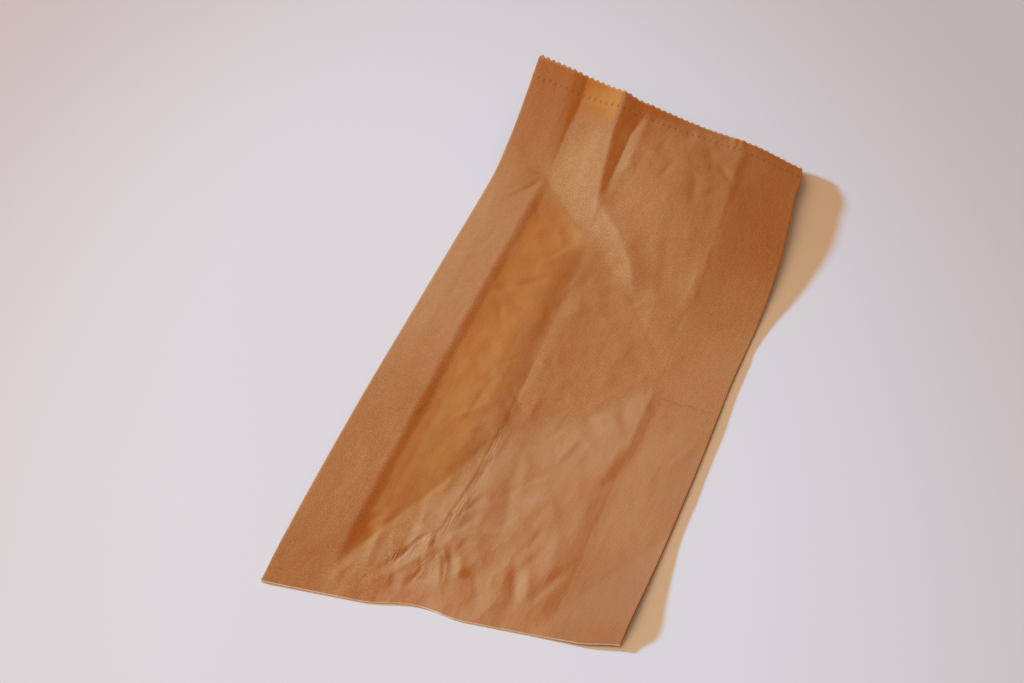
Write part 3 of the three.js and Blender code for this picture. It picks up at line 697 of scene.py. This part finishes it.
def place_vertices(mesh, places):
    """Moves a mesh's vertices to new coordinates."""
    mesh.vertices.foreach_set("co", np.ascontiguousarray(places, dtype=np.float32).ravel())
    mesh.update()


def add_blank(form):
    """Adds the flat blank as a grid whose lines are the bag's fold lines and cross lines."""
    columns, rows = len(form.column_s) - 1, len(form.row_t) - 1
    bpy.ops.object.select_all(action="DESELECT")
    bpy.ops.mesh.primitive_grid_add(x_subdivisions=columns, y_subdivisions=rows, size=1, location=(0, 0, 0))
    bag = bpy.context.object
    bag.name = bag.data.name = "kraft_paper_bag"
    grid = vertex_places(bag.data) + 0.5
    blank = np.zeros_like(grid)
    blank[:, 0] = form.column_s[np.rint(grid[:, 0] * columns).astype(int)]
    blank[:, 1] = form.row_t[np.rint(grid[:, 1] * rows).astype(int)]
    place_vertices(bag.data, blank)
    return bag


def pink_ends(bag, form):
    """Cuts teeth into the two ends of the blank: their edges are halved and every other point drawn back."""
    mesh = bag.data
    t = vertex_places(mesh)[:, 1]
    at_end = np.isclose(t, form.row_t[0]) | np.isclose(t, form.row_t[-1])
    pairs = np.array([edge.vertices[:] for edge in mesh.edges])
    bpy.ops.object.mode_set(mode="EDIT")
    bpy.ops.mesh.select_mode(type="EDGE")
    bpy.ops.mesh.select_all(action="DESELECT")
    bpy.ops.object.mode_set(mode="OBJECT")
    mesh.edges.foreach_set("select", at_end[pairs].all(axis=1))
    bpy.ops.object.mode_set(mode="EDIT")
    bpy.ops.mesh.subdivide(number_cuts=1)
    bpy.ops.object.mode_set(mode="OBJECT")
    blank = vertex_places(mesh)
    blank[:, 1] = form.pinked(blank[:, 0], blank[:, 1])
    place_vertices(mesh, blank)


def map_blank(bag, form):
    """Gives the sheet a map of its flat blank, so that its grain follows the folds."""
    mesh = bag.data
    corners = np.empty(len(mesh.loops), dtype=int)
    mesh.loops.foreach_get("vertex_index", corners)
    blank = vertex_places(mesh)[corners]
    across = blank[:, 0] / form.blank_width
    along = (blank[:, 1] - form.row_t[0]) / form.blank_length
    layer = mesh.uv_layers.active or mesh.uv_layers.new()
    layer.name = BLANK_MAP
    layer.uv.foreach_set("vector", np.stack((across, along), 1).astype(np.float32).ravel())


def fold_blank(bag, form):
    """Folds the blank to the creased bag, and keeps its lines of wear, painted shade and painted highlight, the
    painted light of the front where it lies tight, and its crease lines of painted shade.
    """
    mesh = bag.data
    blank = vertex_places(mesh)
    places, lines, tight = form.folded(blank[:, 0], blank[:, 1])
    across, ply = form.across(blank[:, 0])
    from_line, dark = crease_shade_lines(across, blank[:, 1])
    dark *= ply > FRONT_PLY - 0.2
    crushed = form.crushed(across, blank[:, 1]) * (ply > FRONT_PLY - 0.2)
    kept = {"worn": lines, "tight": tight, "from_line": from_line, "line": dark, "crushed": crushed}
    for name, values in kept.items():
        layer = mesh.attributes.new(name, "FLOAT", "POINT")
        layer.data.foreach_set("value", values.astype(np.float32))
    low, high = places.min(0), places.max(0)
    cad_low, cad_high = (np.array(corner) / MM for corner in CAD_BOX)
    shift = (cad_low + cad_high - low - high) / 2
    shift[2] = cad_low[2] - low[2] + form.paper / 2
    place_vertices(mesh, (places + shift) * MM)


def thicken(bag, form):
    """Gives the folded sheet the thickness of its paper."""
    wall = bag.modifiers.new("paper", "SOLIDIFY")
    wall.thickness = form.paper * MM
    wall.offset = 0
    bpy.ops.object.modifier_apply(modifier=wall.name)
    bpy.ops.object.shade_smooth_by_angle(angle=math.radians(60))


def add_node(tree, kind, inputs=None, **settings):
    """Adds a node; an input is a value for its socket or a socket to link to it."""
    made = tree.nodes.new(kind)
    for key, value in settings.items():
        setattr(made, key, value)
    for key, value in (inputs or {}).items():
        if isinstance(value, bpy.types.NodeSocket):
            tree.links.new(value, made.inputs[key])
        else:
            made.inputs[key].default_value = value
    return made


def calculate(tree, operation, *values, clamp=False):
    """Adds a math node and gives its result."""
    inputs = dict(enumerate(values))
    return add_node(tree, "ShaderNodeMath", inputs, operation=operation, use_clamp=clamp).outputs[0]


def fade(tree, value, low, high, to_low=0.0, to_high=1.0):
    """Adds a smooth range map and gives its result."""
    ends = {"From Min": low, "From Max": high, "To Min": to_low, "To Max": to_high}
    made = add_node(tree, "ShaderNodeMapRange", {"Value": value, **ends}, interpolation_type="SMOOTHSTEP")
    return made.outputs["Result"]


def mix_colour(tree, share, first, second, blend="MIX"):
    """Adds a colour mix and gives its result; a colour is a socket or three numbers."""
    made = add_node(tree, "ShaderNodeMix", {0: share}, data_type="RGBA", blend_type=blend)
    for socket, value in ((made.inputs[6], first), (made.inputs[7], second)):
        if isinstance(value, bpy.types.NodeSocket):
            tree.links.new(value, socket)
        else:
            socket.default_value = (*value, 1)
    return made.outputs[2]


def times(tree, first, *others):
    """Multiplies values and gives the product."""
    for other in others:
        first = calculate(tree, "MULTIPLY", first, other)
    return first


def plus(tree, first, *others):
    """Adds up values and gives the sum."""
    for other in others:
        first = calculate(tree, "ADD", first, other)
    return first


def apart(tree, first, second):
    """Gives the distance between two values."""
    return calculate(tree, "ABSOLUTE", calculate(tree, "SUBTRACT", first, second))


def speckle(tree, place, scale, stretch, detail):
    """Noise on the blank, drawn out along the bag; scale is in patches per millimetre."""
    drawn = add_node(tree, "ShaderNodeMapping", {"Vector": place, "Scale": (scale, scale / stretch, 1)})
    grain = add_node(tree, "ShaderNodeTexNoise", {"Vector": drawn.outputs[0], "Scale": 1, "Detail": detail})
    return grain.outputs["Fac"]


def faceted(tree, place, size):
    """Flat facets with sharp ridges between them, as in crushed paper; size is in millimetres."""
    waves = {"Vector": place, "Scale": 0.7 / size, "Detail": 2}
    sway = add_node(tree, "ShaderNodeTexNoise", waves).outputs["Color"]
    shift = {0: sway, 1: (size, size, 0), 2: place}
    moved = add_node(tree, "ShaderNodeVectorMath", shift, operation="MULTIPLY_ADD").outputs[0]
    turned = {"Vector": moved, "Rotation": (0, 0, 0.35), "Scale": (1, 0.5, 1)}
    drawn = add_node(tree, "ShaderNodeMapping", turned).outputs[0]
    cells = {"Vector": drawn, "Scale": 1 / size}
    return add_node(tree, "ShaderNodeTexVoronoi", cells, voronoi_dimensions="2D").outputs["Distance"]


class KraftPaper:
    """The nodes of ribbed brown kraft paper, in millimetres on the map of the flat blank."""

    def __init__(self, tree, form, finish):
        self.tree, self.form, self.finish = tree, form, finish
        blank = add_node(tree, "ShaderNodeUVMap", uv_map=BLANK_MAP).outputs["UV"]
        size = (form.blank_width, form.blank_length, 1)
        self.place = add_node(tree, "ShaderNodeVectorMath", {0: blank, 1: size}, operation="MULTIPLY").outputs[0]
        split = add_node(tree, "ShaderNodeSeparateXYZ", {0: self.place})
        self.across, self.along = split.outputs[0], split.outputs[1]
        self.worn, self.tight, from_line, self.dark_line, self.crushed = (
            add_node(tree, "ShaderNodeAttribute", attribute_name=name).outputs["Fac"]
            for name in ("worn", "tight", "from_line", "line", "crushed")
        )
        sway = fade(tree, self.speckle(0.16, 1.5, 2), 0.3, 0.7, -0.25, 0.25)
        self.from_line = calculate(tree, "ADD", from_line, sway)
        self.off_line = calculate(tree, "ABSOLUTE", self.from_line)
        self.flecks = self.speckle(0.55, 2.6, 5)
        self.fibres = self.speckle(2.2, 2.0, 3)
        self.ribs = self.ribbed()
        self.ticks = self.crimped()
        self.mottle = self.mottled()

    def speckle(self, scale, stretch, detail):
        """Noise on the blank."""
        return speckle(self.tree, self.place, scale, stretch, detail)

    def ribbed(self):
        """Fine ribs along the bag that wander a little."""
        wander = times(self.tree, self.speckle(0.12, 3.0, 2), 2.2)
        turns = times(self.tree, self.across, 2 * math.pi / (self.finish.rib_pitch / MM))
        return calculate(self.tree, "SINE", plus(self.tree, turns, wander))

    def crimped(self):
        """The row of crimped ticks below the mouth, one to a tooth."""
        tree = self.tree
        from_row = apart(tree, self.along, self.form.blank_length - self.finish.tick_line / MM)
        phase = calculate(tree, "FRACT", calculate(tree, "DIVIDE", self.across, self.form.tooth_pitch))
        from_tick = apart(tree, phase, 0.5)
        uneven = fade(tree, self.speckle(0.09, 1.0, 2), 0.35, 0.6, 0.6, 1.0)
        return times(tree, fade(tree, from_row, 1.0, 0.4), fade(tree, from_tick, 0.26, 0.14), uneven)

    def mottled(self):
        """Fibre mottling: clouds, flecks, ribs and fibres together."""
        tree = self.tree
        clouds = times(tree, self.speckle(0.045, 1.6, 4), 0.4)
        fine = times(tree, calculate(tree, "SUBTRACT", self.fibres, 0.5), 2.5)
        return plus(tree, clouds, times(tree, self.flecks, 0.6), times(tree, self.ribs, 0.06), fine)

    def lines(self):
        """The lines of painted shade along sharp creases, and the pale lip beside them."""
        tree = self.tree
        broken = fade(tree, self.flecks, 0.42, 0.60, 0.05, 1.0)
        line = times(tree, fade(tree, self.off_line, 0.6, 0.1), self.dark_line, broken)
        lip = times(tree, fade(tree, apart(tree, self.from_line, 1.1), 0.9, 0.1), self.dark_line)
        return line, lip

    def colour(self):
        """The paper's colour: each layer is a share and the colour that it brings in; several layers are painted
        shade, painted highlights and painted glow.
        """
        tree, finish, form = self.tree, self.finish, self.form
        base = mix_colour(tree, fade(tree, self.mottle, 0.28, 0.72), tuple(finish.dark), tuple(finish.light))
        blotches = fade(tree, self.speckle(0.11, 1.4, 4), 0.36, 0.64, 0.7, 1.0)
        # Painted light: where the front lies tight, and in the painted glow at the mouth, it turns a warmer, fuller
        # orange
        painted_tight_share = calculate(tree, "MULTIPLY", self.tight, blotches, clamp=True)
        base = mix_colour(tree, painted_tight_share, base, mix_colour(tree, 0.6, base, tuple(finish.tight)))
        line, lip = self.lines()
        to_mouth = calculate(tree, "SUBTRACT", form.blank_length, self.along)
        layers = (
            # Painted light: a paler, cooler tone where the front stands loose
            (fade(tree, self.tight, 0.0, -1.0, 0.0, 0.55), finish.loose),
            # Painted glow of the two plies at the mouth
            (fade(tree, self.tight, 1.0, 2.0, 0.0, 0.6), finish.lit_through),
            (times(tree, fade(tree, to_mouth, 3.4, 1.6), 0.55), finish.rim),
            # Wear along ridges, with a painted highlight along the side folds
            (calculate(tree, "MULTIPLY", self.worn, 0.45, clamp=True), finish.worn),
            # Painted shade in crease valleys and half-shaded places
            (calculate(tree, "MULTIPLY", self.worn, -0.35, clamp=True), finish.painted_shade),
            (times(tree, lip, 0.08), finish.rim),
            # Painted shade along sharp creases
            (times(tree, line, 0.6), finish.line),
            # Painted highlight along the bottom fold
            (times(tree, fade(tree, apart(tree, self.along, form.flap), 0.9, 0.5), 0.85), finish.bottom_fold_highlight),
            (times(tree, self.ticks, 0.30), finish.tick),
        )
        for share, brought in layers:
            base = mix_colour(tree, share, base, tuple(brought))
        return base

    def bump(self):
        """Fine relief: ribs, fibres, flecks, ticks, small facets where it is crushed, and crease lines."""
        tree = self.tree
        facets = plus(tree, faceted(tree, self.place, 17.0), times(tree, faceted(tree, self.place, 7.5), 0.3))
        valley = fade(tree, self.off_line, 0.0, 1.6, -0.35, 0.0)
        height = plus(
            tree,
            times(tree, self.ribs, 0.011),
            times(tree, self.fibres, 0.05),
            times(tree, self.flecks, 0.10),
            times(tree, self.ticks, -0.20),
            times(tree, facets, self.crushed, 1.3),
            times(tree, valley, self.dark_line),
        )
        return add_node(tree, "ShaderNodeBump", {"Height": height, "Strength": 0.7, "Distance": MM}).outputs[0]


def kraft_material(form, finish):
    """Ribbed brown kraft paper: fibre mottling, worn ridges, crimped ticks, painted shade, highlights and glow, and
    light that comes through.
    """
    material = bpy.data.materials.new("brown_kraft_paper")
    material.use_nodes = True
    tree = material.node_tree
    tree.nodes.clear()
    kraft = KraftPaper(tree, form, finish)
    bump = kraft.bump()
    facing = {
        "Base Color": kraft.colour(),
        "Roughness": fade(tree, kraft.mottle, 0.2, 0.8, 0.88, 0.78),
        "Normal": bump,
        "Specular IOR Level": 0.04,
    }
    paper = add_node(tree, "ShaderNodeBsdfPrincipled", facing)
    glow = add_node(tree, "ShaderNodeBsdfTranslucent", {"Color": (*finish.glow, 1), "Normal": bump})
    share = fade(tree, kraft.tight, 0.0, 1.0, 0.24, 0.34)
    through = add_node(tree, "ShaderNodeMixShader", {0: share, 1: paper.outputs[0], 2: glow.outputs[0]})
    add_node(tree, "ShaderNodeOutputMaterial", {"Surface": through.outputs[0]})
    return material


class BAKERYBAG_OT_paper_bag(bpy.types.Operator):
    """Cuts, pinks, folds and creases the kraft paper sheet, in place of its CAD solid"""

    bl_idname = "bakery_bag.paper_bag"
    bl_label = "Paper bag"

    def execute(self, context):
        form = BagForm(context.scene.bakery_bag_sizes)
        bag = add_blank(form)
        pink_ends(bag, form)
        map_blank(bag, form)
        fold_blank(bag, form)
        thicken(bag, form)
        bag.data.materials.append(kraft_material(form, context.scene.bakery_bag_kraft))
        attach(bag, "root")
        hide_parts(BAG)
        return {"FINISHED"}


def aim_at(thing, target):
    """Turns a light or the camera to look at a place."""
    thing.rotation_euler = (Vector(target) - thing.location).to_track_quat("-Z", "Y").to_euler()


def add_key(look):
    """Adds the low, even light from the left."""
    bpy.ops.object.light_add(type="SUN", location=look.key_place)
    light = bpy.context.object
    light.name = light.data.name = "key"
    light.data.energy = look.key
    light.data.color = look.key_tint
    light.data.angle = look.key_soft
    aim_at(light, (0, 0, 0))


def add_warm(look):
    """Adds the large warm light that hangs above, towards the left."""
    bpy.ops.object.light_add(type="AREA", location=look.warm_place)
    light = bpy.context.object
    light.name = light.data.name = "warm"
    light.data.energy = look.warm_power
    light.data.color = look.fill_tint
    light.data.size = 1.6
    aim_at(light, (0, 0, 0))


def table_material(look):
    """Smooth pale table top with a trace of unevenness, its tone deepened further out as painted shade where light
    falls off.
    """
    material = bpy.data.materials.new("pale_table")
    material.use_nodes = True
    tree = material.node_tree
    surface = tree.nodes["Principled BSDF"]
    place = add_node(tree, "ShaderNodeTexCoord").outputs["Object"]
    drift = add_node(tree, "ShaderNodeTexNoise", {"Vector": place, "Scale": 7, "Detail": 2}).outputs["Fac"]
    paler = tuple(min(1, 1.02 * part) for part in look.table)
    middle = {"Vector": place, "Location": TABLE_MIDDLE, "Rotation": TABLE_TURN, "Scale": TABLE_SPREAD}
    spread = add_node(tree, "ShaderNodeMapping", middle, vector_type="TEXTURE").outputs[0]
    reach = add_node(tree, "ShaderNodeVectorMath", {0: spread}, operation="LENGTH").outputs["Value"]
    even = mix_colour(tree, drift, tuple(look.table), paler)
    # Painted shade: the table darkens further out from its palest middle, where light falls off
    faded = mix_colour(tree, fade(tree, reach, 0.45, 1.5), even, tuple(look.table_painted_falloff))
    tree.links.new(faded, surface.inputs["Base Color"])
    surface.inputs["Roughness"].default_value = 0.9
    surface.inputs["Specular IOR Level"].default_value = 0.0
    return material


class BAKERYBAG_OT_stage(bpy.types.Operator):
    """Sets the pale table, the low soft light from the left and the camera"""

    bl_idname = "bakery_bag.stage"
    bl_label = "Stage"

    def execute(self, context):
        look = context.scene.bakery_bag_stage
        bpy.ops.object.select_all(action="DESELECT")
        bpy.ops.mesh.primitive_plane_add(size=12, location=(0, 0, CAD_BOX[0].z))
        table = context.object
        table.name = table.data.name = "table_top"
        table.data.materials.append(table_material(look))
        add_key(look)
        add_warm(look)
        world = bpy.data.worlds.new("soft_room")
        world.use_nodes = True
        sky = world.node_tree.nodes["Background"]
        sky.inputs["Color"].default_value = (*look.fill_tint, 1)
        sky.inputs["Strength"].default_value = look.fill
        context.scene.world = world
        context.scene.view_settings.view_transform = "Standard"
        bpy.ops.object.camera_add(location=look.camera)
        camera = context.object
        camera.data.lens = look.lens
        camera.data.sensor_width = 36
        aim_at(camera, look.aim)
        context.scene.camera = camera
        return {"FINISHED"}


class BAKERYBAG_PT_panel(bpy.types.Panel):
    """Sidebar panel with the bag's sizes, finish and stage"""

    bl_idname = "BAKERYBAG_PT_panel"
    bl_label = "Bakery Bag"
    bl_space_type = "VIEW_3D"
    bl_region_type = "UI"
    bl_category = "Bakery Bag"

    def draw(self, context):
        groups = (
            (BAKERYBAG_OT_paper_bag, (context.scene.bakery_bag_sizes, context.scene.bakery_bag_kraft)),
            (BAKERYBAG_OT_stage, (context.scene.bakery_bag_stage,)),
        )
        for operator, settings in groups:
            box = self.layout.box()
            box.operator(operator.bl_idname)
            for group in settings:
                for name in group.__annotations__:
                    box.prop(group, name)


CLASSES = (
    BagSizes,
    KraftFinish,
    StageLook,
    BAKERYBAG_OT_paper_bag,
    BAKERYBAG_OT_stage,
    BAKERYBAG_PT_panel,
)
SETTINGS = {
    "bakery_bag_sizes": BagSizes,
    "bakery_bag_kraft": KraftFinish,
    "bakery_bag_stage": StageLook,
}


def register():
    for made in CLASSES:
        bpy.utils.register_class(made)
    for name, group in SETTINGS.items():
        setattr(bpy.types.Scene, name, bpy.props.PointerProperty(type=group))


def unregister():
    for name in SETTINGS:
        delattr(bpy.types.Scene, name)
    for made in reversed(CLASSES):
        bpy.utils.unregister_class(made)


def main():
    register()
    bpy.ops.bakery_bag.paper_bag()
    bpy.ops.bakery_bag.stage()


if __name__ == "__main__":
    main()
